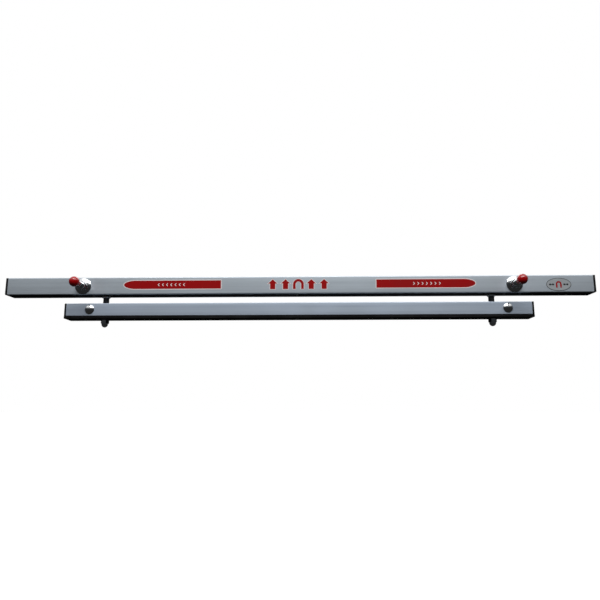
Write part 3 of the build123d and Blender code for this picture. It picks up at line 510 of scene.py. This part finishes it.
cap_plastic = black_plastic(
    "cap_plastic", roughness=0.52, frequency=(1300, 1300, 1300), relief=0.00004, scuff=0.2
)
strip_plastic = black_plastic(
    "strip_plastic", roughness=0.66, frequency=(30, 1100, 1100), relief=0.00003, scuff=0.6
)

# %% [markdown]
# ## Plated and bare steel
#
# The pull pins, flange washers, domed bolts and acorn nuts are bright plated, smooth enough to
# mirror the room. Nuts and small screws are zinc, a little milky and faintly yellow. The guide
# sleeves are dark polished tube, and the springs are oiled wire. The bronze bushings and the
# ferrite magnets sit inside the lower bar, and get a finish too.


# %% Steel finishes
def plated(name, colour, roughness, milk, milk_colour):
    """Plated steel: milk is how far a cloudy second tone shows."""
    made = Finish(name, colour, roughness, metallic=1.0)
    cloud = made.mask(marks_group, Size=60.0)
    fine = made.mask(grain_group, Frequency=(700, 700, 700), Contrast=0.3)
    hairline = made.mask(hairline_group, Frequency=(120, 120, 120), Width=0.004)
    made.tint(cloud, milk_colour, strength=milk)
    made.tint(made.mask(edge_group, Amount=0.5), colour=(0.85, 0.85, 0.86))
    made.roughen(cloud, change=0.06).roughen(fine, change=0.04).roughen(hairline, change=0.12)
    made.bump(fine, depth=0.000006)
    return made.done()


chrome = plated(
    "bright_chrome", colour=(0.82, 0.84, 0.86), roughness=0.07, milk=0.25, milk_colour=(0.66, 0.68, 0.70)
)
zinc = plated(
    "zinc_plate", colour=(0.66, 0.67, 0.66), roughness=0.24, milk=0.6, milk_colour=(0.50, 0.50, 0.47)
)
dark_steel = plated(
    "dark_steel", colour=(0.16, 0.165, 0.175), roughness=0.26, milk=0.5, milk_colour=(0.10, 0.10, 0.105)
)
spring_wire = plated(
    "spring_wire", colour=(0.42, 0.42, 0.43), roughness=0.30, milk=0.5, milk_colour=(0.25, 0.24, 0.23)
)
bronze = plated(
    "bushing_bronze", colour=(0.58, 0.38, 0.17), roughness=0.32, milk=0.5, milk_colour=(0.36, 0.22, 0.10)
)

ferrite_finish = Finish("ferrite", colour=(0.045, 0.045, 0.05), roughness=0.62)
ground = ferrite_finish.mask(grain_group, Frequency=(400, 60, 400), Contrast=0.3)
worn = ferrite_finish.mask(marks_group, Size=25.0)
ferrite_finish.tint(worn, colour=(0.085, 0.083, 0.085), strength=0.7)
ferrite_finish.roughen(ground, change=0.15).bump(ground, depth=0.00003)
ferrite = ferrite_finish.done()

# %% [markdown]
# ## Red
#
# The ball knobs are cast phenolic: deep red through and through, polished, with a clear skin
# and a faint swirl. The labels are printed vinyl: a flat red ink with a slight orange-peel
# surface, over a pale base that shows as a border.

# %% Knob and vinyl finishes
knob_finish = Finish(
    "red_phenolic", colour=(0.42, 0.001, 0.003), roughness=0.14, Coat_Weight=0.4, Coat_Roughness=0.05
)
swirl = knob_finish.mask(marks_group, Size=45.0)
knob_finish.tint(swirl, colour=(0.27, 0.001, 0.002), strength=0.6)
scratches = knob_finish.mask(hairline_group, Frequency=(90, 90, 90), Width=0.005)
knob_finish.roughen(scratches, change=0.18).roughen(swirl, change=0.06)
red_phenolic = knob_finish.done()


def vinyl(name, colour, faded, roughness=0.38):
    """Printed self-adhesive vinyl that has faded a little in patches."""
    made = Finish(name, colour, roughness, Specular_IOR_Level=0.18)
    peel = made.mask(grain_group, Frequency=(450, 450, 450), Contrast=0.3)
    marks = made.mask(marks_group, Size=22.0)
    made.tint(marks, faded, strength=0.5)
    made.roughen(peel, change=0.05).roughen(marks, change=0.08).bump(peel, depth=0.00001)
    return made.done()


red_vinyl = vinyl("red_vinyl", colour=(0.38, 0.001, 0.002), faded=(0.30, 0.001, 0.002))
pale_vinyl = vinyl("pale_vinyl", colour=(0.95, 0.88, 0.88), faded=(0.84, 0.78, 0.78))
silver_vinyl = vinyl(
    "silver_vinyl", colour=(0.40, 0.43, 0.45), faded=(0.34, 0.36, 0.38), roughness=0.30
)
ink_vinyl = vinyl("ink_vinyl", colour=(0.02, 0.022, 0.026), faded=(0.04, 0.042, 0.046))

# %% [markdown]
# ## From working model to finished pieces
#
# A node of the working model is a shell of loose triangles with razor edges. Real edges are
# broken, and that thin line of light along them is much of what makes metal look solid. Each
# node is therefore copied, its triangles are welded, flat areas are joined into single faces,
# and a Bevel modifier rounds every sharp edge. The copy stands for the node, and the node itself
# stays untouched behind it.

# %% Making a piece
sharp_angle = radians(28)
flat_angle = radians(0.2)
weld_distance = 0.002 * MM
edge_segments = 2
node_slots = {part["node"]: part["material_slot"] for part in frame["record"]["subparts"]}


def add_piece(name, mesh, body, materials, stands_for=()):
    """Put a bmesh in the scene as a smooth-shaded piece on a body."""
    for edge in mesh.edges:
        edge.smooth = len(edge.link_faces) == 2 and edge.calc_face_angle(0) < sharp_angle
    for face in mesh.faces:
        face.smooth = True
    data = bpy.data.meshes.new(name)
    mesh.to_mesh(data)
    mesh.free()
    for material in materials:
        data.materials.append(material)
    piece = bpy.data.objects.new(name, data)
    scene.collection.objects.link(piece)
    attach(piece, body)
    if stands_for:
        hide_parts(*stands_for)
    return piece


def soften(piece, width):
    """Round the piece's sharp edges."""
    bevel = piece.modifiers.new("broken_edges", "BEVEL")
    bevel.width = width
    bevel.segments = edge_segments
    bevel.limit_method = "ANGLE"
    bevel.angle_limit = sharp_angle
    bevel.harden_normals = True


def finish_node(node, material, edge):
    """Stand a welded, softened copy in for a node of the working model."""
    source = frame["nodes"][node]
    mesh = bmesh.new()
    mesh.from_mesh(source.data)
    bmesh.ops.remove_doubles(mesh, verts=mesh.verts, dist=weld_distance)
    bmesh.ops.dissolve_limit(mesh, angle_limit=flat_angle, verts=mesh.verts, edges=mesh.edges)
    for face in mesh.faces:
        face.material_index = 0
    piece = add_piece(node + "_finished", mesh, source["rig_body"], [material], [node])
    soften(piece, edge)


# %% [markdown]
# The record gives each node a material slot, and each slot has one finish and one edge width in
# millimetres. Cut extrusions have a crisper edge than castings, and moulded caps the softest.
# Pieces that get a shape of their own further down are left out.

# %% Finishes by slot
slot_finishes = {
    "hanger_aluminium": (hanger_metal, 0.3),
    "housing_aluminium": (housing_metal, 0.3),
    "cast_aluminium": (cast_metal, 0.5),
    "black_plastic": (cap_plastic, 1.0),
    "black_strip": (strip_plastic, 0.5),
    "bright_chrome": (chrome, 0.25),
    "zinc_steel": (zinc, 0.15),
    "dark_steel": (dark_steel, 0.15),
    "bronze": (bronze, 0.3),
    "ferrite": (ferrite, 0.5),
}
own_shapes = ("plunger_barrel", "plunger_spring", "plunger_washers", "pin_knob", "cross_bolts", "label")
carried_over = [node for node in node_slots if not node.startswith(own_shapes)]
for node in carried_over:
    material, edge = slot_finishes[node_slots[node]]
    finish_node(node, material, edge * MM)
print("finished", len(carried_over), "nodes")

# %% [markdown]
# ## Turned pieces
#
# The plunger barrels, the springs and the ball knobs are round about the pin's axis, so each is
# spun from half a section. The helper takes points as (distance from the axis, place along Y)
# and closes the ring where the spin meets its start. A second helper adds such a piece to a
# mesh that holds several.

# %% Spinning about a pin's axis
spin_steps = 72
seam_distance = 0.001 * MM


def spun(outline, center):
    """A bmesh spun about an axis along Y through center, from points (radius, y)."""
    mesh = bmesh.new()
    corners = [mesh.verts.new((center.x + radius, y, center.z)) for radius, y in outline]
    edges = [mesh.edges.new(pair) for pair in zip(corners, corners[1:] + corners[:1])]
    bmesh.ops.spin(
        mesh,
        geom=corners + edges,
        cent=center,
        axis=(0, 1, 0),
        angle=2 * pi,
        steps=spin_steps,
        use_merge=True,
    )
    bmesh.ops.remove_doubles(mesh, verts=mesh.verts, dist=seam_distance)
    bmesh.ops.recalc_face_normals(mesh, faces=mesh.faces)
    return mesh


def add_spun(whole, outline, center):
    """Add a spun shape to a bmesh that holds others."""
    part = spun(outline, center)
    data = bpy.data.meshes.new("part")
    part.to_mesh(data)
    part.free()
    whole.from_mesh(data)
    bpy.data.meshes.remove(data)


def pin_axis(side):
    """A point on the axis of the pull pin on this side."""
    low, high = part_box(f"pull_pin_{side}")
    return Vector(((low.x + high.x) / 2, 0, (low.z + high.z) / 2))


# %% [markdown]
# The domed heads are shallow caps of a sphere, and a mirror finish shows every flaw in a curve,
# so these are spun too. The flange washer is a cap with a flat seat for the jam nut. The cross
# bolt is a whole cap over a round shank, with a square neck that keeps it from turning.

# %% Domed washers and bolts
dome_steps = 20


def dome(rim_radius, rim_y, seat_radius, seat_y):
    """Section points of a spherical cap from its rim to its seat."""
    rise = rim_y - seat_y
    depth = (rim_radius**2 - seat_radius**2 + rise**2) / (2 * rise)
    sphere = sqrt(seat_radius**2 + depth**2)
    first, last = asin(rim_radius / sphere), asin(seat_radius / sphere)
    angles = [first + (last - first) * step / dome_steps for step in range(dome_steps + 1)]
    return [(sphere * sin(angle), seat_y + depth - sphere * cos(angle)) for angle in angles]


washer_rim = 1.2 * MM
seat_radius = 14.0 * MM
low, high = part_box("plunger_washers")
washer_radius = (high.z - low.z) / 2
barrel_low, barrel_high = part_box("plunger_barrel_left")
washer_bore = (barrel_high.z - barrel_low.z) / 2
washers = bmesh.new()
for side in ("left", "right"):
    outline = dome(washer_radius, high.y - washer_rim, seat_radius, low.y)
    outline += [(washer_bore, low.y), (washer_bore, high.y), (washer_radius, high.y)]
    add_spun(washers, outline, pin_axis(side))
add_piece("flange_washers_domed", washers, "hanger_bar", [chrome], ["plunger_washers"])

bolt_rim = 0.8 * MM
shank_radius = 5.0 * MM
neck_depth = 3.0 * MM
low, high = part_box("cross_bolts")
head_radius = (high.z - low.z) / 2
seat_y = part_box("magnet_housing")[0].y
bolts = bmesh.new()
for x in (low.x + head_radius, high.x - head_radius):
    center = Vector((x, 0, (low.z + high.z) / 2))
    outline = dome(head_radius, seat_y - bolt_rim, 0, low.y)
    outline += [(0, high.y), (shank_radius, high.y), (shank_radius, seat_y), (head_radius, seat_y)]
    add_spun(bolts, outline, center)
    neck = bmesh.ops.create_cube(bolts, size=1)["verts"]
    bmesh.ops.scale(bolts, vec=(2 * shank_radius, neck_depth, 2 * shank_radius), verts=neck)
    bmesh.ops.translate(bolts, vec=(x, seat_y + neck_depth / 2, center.z), verts=neck)
add_piece("cross_bolts_domed", bolts, "magnet_bar", [chrome], ["cross_bolts"])
print("domes spun in", dome_steps, "steps")

# %% [markdown]
# The barrel is a threaded sleeve. Its crests start just outside the jam nut and run to the
# chamfered end. Ring grooves at the thread's pitch look much like a true helix at this size, and
# they keep the section closed. A groove's corners are placed as shares of the pitch. The bore is
# modelled too: a narrow hole for the stem, and a wider chamber behind it for the spring.

# %% Plunger barrels
thread_pitch = 1.5 * MM
thread_depth = 0.8 * MM
stem_bore = 4.05 * MM
chamber_bore = 6.2 * MM
end_wall = 7.0 * MM
end_chamfer = 1.0 * MM
root_start, root_end, crest_start = 0.42, 0.58, 0.92

nut_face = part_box("plunger_nuts")[0].y
for side in ("left", "right"):
    low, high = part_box(f"plunger_barrel_{side}")
    crest = (high.z - low.z) / 2
    root = crest - thread_depth
    outline = [(chamber_bore, high.y), (crest, high.y), (crest, nut_face - thread_pitch)]
    threads = int((nut_face - low.y - thread_pitch - end_chamfer) / thread_pitch)
    for number in range(threads):
        start = nut_face - thread_pitch * (number + 1)
        outline += [(root, start - thread_pitch * root_start), (root, start - thread_pitch * root_end)]
        outline += [(crest, start - thread_pitch * crest_start), (crest, start - thread_pitch)]
    outline += [
        (crest, low.y + end_chamfer),
        (crest - end_chamfer, low.y),
        (stem_bore, low.y),
        (stem_bore, low.y + end_wall),
        (chamber_bore, low.y + end_wall),
    ]
    barrel = spun(outline, pin_axis(side))
    add_piece(f"barrel_threaded_{side}", barrel, "hanger_bar", [chrome], [f"plunger_barrel_{side}"])
print("barrels with", threads, "thread crests each")

# %% [markdown]
# The return spring is a circle carried round the axis and outward along it: the same spin
# operator makes a helix when each step also moves a little. When the pin is pulled the real
# spring shortens towards the barrel's end; this one rides on the hanger bar at its full length.

# %% Return springs
wire_radius = 0.55 * MM
wire_sides = 10
spring_turns = 9
steps_per_turn = 24
for side in ("left", "right"):
    low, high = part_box(f"plunger_spring_{side}")
    center = pin_axis(side)
    coil_radius = (high.z - low.z) / 2 - wire_radius
    coil_length = high.y - low.y - 2 * wire_radius
    coil = bmesh.new()
    ring = bmesh.ops.create_circle(coil, segments=wire_sides, radius=wire_radius)["verts"]
    first_turn = (center.x + coil_radius, high.y - wire_radius, center.z)
    bmesh.ops.translate(coil, verts=ring, vec=first_turn)
    steps = spring_turns * steps_per_turn
    bmesh.ops.spin(
        coil,
        geom=coil.verts[:] + coil.edges[:],
        cent=center,
        axis=(0, 1, 0),
        dvec=(0, -coil_length / steps, 0),
        angle=spring_turns * 2 * pi,
        steps=steps,
    )
    bmesh.ops.holes_fill(coil, edges=[edge for edge in coil.edges if edge.is_boundary])
    bmesh.ops.recalc_face_normals(coil, faces=coil.faces)
    node = f"plunger_spring_{side}"
    spring = add_piece(f"return_spring_{side}", coil, "hanger_bar", [spring_wire], [node])
    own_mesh(spring)
print("springs with", spring_turns, "turns")

# %% [markdown]
# The ball knob has a short neck with a moulded bead where it meets the ball, and a low collar
# around the stem. The ball is an arc of many short chords, which smooth shading makes look like
# a true curve.

# %% Ball knobs
arc_steps = 28
bead_radius = 8.3 * MM
bead_step = 0.8 * MM
stem_radius = 4.0 * MM
stem_past_middle = 4 * MM
collar_radius = 5.6 * MM
collar_height = 0.4 * MM
neck_radius = 7.5 * MM
neck_round = 0.8 * MM
for side in ("left", "right"):
    low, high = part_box(f"pin_knob_{side}")
    ball_radius = (high.z - low.z) / 2
    ball_y = low.y + ball_radius
    start_angle = asin(bead_radius / ball_radius)
    ball_edge = ball_y + ball_radius * cos(start_angle)
    neck_top = high.y - collar_height
    stem_end = ball_y - stem_past_middle
    outline = [
        (stem_radius, high.y),
        (collar_radius, high.y),
        (collar_radius, neck_top),
        (neck_radius - neck_round, neck_top),
        (neck_radius, neck_top - neck_round),
        (neck_radius, ball_edge + 2 * bead_step),
        (bead_radius, ball_edge + bead_step),
    ]
    for step in range(arc_steps):
        angle = start_angle + (pi - start_angle) * step / arc_steps
        outline.append((ball_radius * sin(angle), ball_y + ball_radius * cos(angle)))
    outline += [(0, low.y), (0, stem_end), (stem_radius, stem_end)]
    ball = spun(outline, pin_axis(side))
    add_piece(f"ball_knob_{side}", ball, f"pull_pin_{side}", [red_phenolic], [f"pin_knob_{side}"])
print("knobs", round(2 * ball_radius / MM, 1), "mm across")

# %% [markdown]
# ## Labels
#
# The labels are cut vinyl, 0.3 millimetres thick. Each is an outline made into one flat face,
# extruded to its thickness. The printed border is not a separate piece: the front face is inset,
# and the ring that the inset leaves takes a pale ink of its own. What is printed in the middle
# is generic: chevrons on the arrows, and on the centre label a row of two lift arrows, a
# horseshoe magnet, and two more lift arrows.

# %% Flat outlines
curve_steps = 14


def ink_plate(name, outline, back_y, front_y, materials, border=0.0, node=None):
    """A plate from (x, z) points, facing -Y, with a printed border in the second material."""
    mesh = bmesh.new()
    face = mesh.faces.new([mesh.verts.new((x, back_y, z)) for x, z in outline])
    face.normal_update()
    if face.normal.y > 0:
        face.normal_flip()
    grown = bmesh.ops.extrude_face_region(mesh, geom=[face])["geom"]
    moved = [part for part in grown if isinstance(part, bmesh.types.BMVert)]
    bmesh.ops.translate(mesh, verts=moved, vec=(0, front_y - back_y, 0))
    front = next(part for part in grown if isinstance(part, bmesh.types.BMFace))
    bmesh.ops.recalc_face_normals(mesh, faces=mesh.faces)
    if border:
        ring = bmesh.ops.inset_region(mesh, faces=[front], thickness=border, use_even_offset=True)
        for part in ring["faces"]:
            part.material_index = 1
    return add_piece(name, mesh, "hanger_bar", materials, [node] if node else ())


def ellipse(center_x, center_z, half_x, half_z, count=64):
    """Points of an ellipse."""
    turns = [2 * pi * step / count for step in range(count)]
    return [(center_x + half_x * cos(turn), center_z + half_z * sin(turn)) for turn in turns]


print("label helper ready")

# %% [markdown]
# The arrow labels point outward at the pins. Their tips are pointed arches, the shape of a
# bullet, drawn with two curves that meet. The tail has small round corners.

# %% Arrow labels
tip_share = 0.115
tip_fullness = 1.7
tail_round = 2.2 * MM
tail_turns = [radians(turn) for turn in (90, 60, 30, 0)]


def arch_label(low, high, sign):
    """Outline of a label whose pointed arch faces the sign's side."""
    tip_x = high.x if sign > 0 else low.x
    tail_x = low.x if sign > 0 else high.x
    length = high.x - low.x
    half = (high.z - low.z) / 2
    center_z = (high.z + low.z) / 2
    shoulder = tip_x - sign * length * tip_share
    upper = []
    for step in range(curve_steps):
        share = step / curve_steps
        x = shoulder + (tip_x - shoulder) * sin(share * pi / 2)
        upper.append((x, half * (1 - share**tip_fullness)))
    corner_x = tail_x + sign * tail_round
    tail = [
        (corner_x - sign * tail_round * sin(turn), half - tail_round * (1 - cos(turn)))
        for turn in tail_turns
    ]
    half_outline = tail + upper
    lower = [(x, -z) for x, z in reversed(half_outline)]
    points = half_outline + [(tip_x, 0)] + lower
    return [(x, center_z + z) for x, z in points]


print_lift = 0.04 * MM
arrow_border = 2.0 * MM
chevron_count = 7
chevron_pitch = 11.0 * MM
chevron_height = 3.6 * MM
chevron_reach = 3.2 * MM
chevron_stroke = 2.2 * MM
for side, sign in (("left", -1), ("right", 1)):
    node = f"label_arrow_{side}"
    low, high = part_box(node)
    outline = arch_label(low, high, sign)
    ink_plate(node + "_vinyl", outline, high.y, low.y, [red_vinyl, pale_vinyl], arrow_border, node)
    middle_x = (low.x + high.x) / 2
    middle_z = (low.z + high.z) / 2
    for number in range(chevron_count):
        x = middle_x + sign * (number - chevron_count // 2) * chevron_pitch
        outline = [
            (x, middle_z + chevron_height),
            (x + sign * chevron_stroke, middle_z + chevron_height),
            (x + sign * (chevron_stroke + chevron_reach), middle_z),
            (x + sign * chevron_stroke, middle_z - chevron_height),
            (x, middle_z - chevron_height),
            (x + sign * chevron_reach, middle_z),
        ]
        ink_plate(f"chevron_{side}_{number + 1}", outline, low.y, low.y - print_lift, [pale_vinyl])
print("arrow labels with chevrons")

# %% [markdown]
# The centre label is die-cut to its pictograms, with no sheet behind them: five shapes in a row,
# red with a pale edge. A lift arrow is a broad triangle over a short shaft. The horseshoe is two
# arcs, one inside the other, joined at the poles.

# %% Centre label
icon_count = 5
icon_fill = 0.46
icon_border = 1.3 * MM
horseshoe_stroke = 0.62
shaft_share = 0.52
neck_share = 0.02

low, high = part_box("label_centre")
icon_half = (high.z - low.z) / 2
icon_pitch = (high.x - low.x) / icon_count
icon_z = (low.z + high.z) / 2
icon_half_width = icon_pitch * icon_fill


def lift_arrow(x, z, half_width, half_height):
    """Outline of an arrow that points up."""
    shaft = half_width * shaft_share
    neck = z + half_height * neck_share
    return [
        (x, z + half_height),
        (x + half_width, neck),
        (x + shaft, neck),
        (x + shaft, z - half_height),
        (x - shaft, z - half_height),
        (x - shaft, neck),
        (x - half_width, neck),
    ]


def horseshoe(x, z, half_width, half_height, stroke):
    """Outline of a horseshoe magnet with its poles down."""
    crown = z + half_height - half_width
    turns = [pi * step / (2 * curve_steps) for step in range(2 * curve_steps + 1)]
    outer = [(x + half_width * cos(turn), crown + half_width * sin(turn)) for turn in turns]
    bore = half_width - stroke
    inner = [(x + bore * cos(turn), crown + bore * sin(turn)) for turn in reversed(turns)]
    foot = z - half_height
    poles = [(x - half_width, foot), (x - bore, foot)]
    return [(x + half_width, foot), *outer, *poles, *inner, (x + bore, foot)]


first_x = low.x + icon_pitch / 2
for number in range(icon_count):
    x = first_x + number * icon_pitch
    if number == icon_count // 2:
        stroke = icon_half_width * horseshoe_stroke
        outline = horseshoe(x, icon_z, icon_half_width, icon_half, stroke)
    else:
        outline = lift_arrow(x, icon_z, icon_half_width, icon_half)
    name = f"centre_mark_{number + 1}"
    node = "label_centre" if number == 0 else None
    ink_plate(name, outline, high.y, low.y, [red_vinyl, pale_vinyl], icon_border, node)
print("centre label with", icon_count, "pictograms")

# %% [markdown]
# The badge is an oval metallised label: a thin dark rim, a silvery ground, a small red horseshoe
# and a pair of dark dots on either side of it. The horseshoe and the dots are sized and placed as
# shares of the oval's half width and half height.

# %% Badge
badge_rim = 1.2 * MM
mark_half_width, mark_half_height, mark_stroke = 0.42, 0.50, 0.22
dot_shares = (-0.68, -0.46, 0.46, 0.68)
dot_width, dot_height = 0.10, 0.14
dot_steps = 32

low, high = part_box("label_badge")
center_x, center_z = (low.x + high.x) / 2, (low.z + high.z) / 2
half_x, half_z = (high.x - low.x) / 2, (high.z - low.z) / 2
front_y, print_y = low.y, low.y - print_lift
plate = ellipse(center_x, center_z, half_x, half_z)
badge_inks = [silver_vinyl, ink_vinyl]
ink_plate("badge_plate", plate, high.y, front_y, badge_inks, badge_rim, "label_badge")
mark = horseshoe(
    center_x, center_z, half_z * mark_half_width, half_z * mark_half_height, half_z * mark_stroke
)
ink_plate("badge_mark", mark, front_y, print_y, [red_vinyl])
for number, share in enumerate(dot_shares):
    dot_middle = center_x + share * half_x
    dot = ellipse(dot_middle, center_z, half_x * dot_width, half_z * dot_height, dot_steps)
    ink_plate(f"badge_dot_{number + 1}", dot, front_y, print_y, [ink_vinyl])
print("badge at x =", round(center_x, 3))
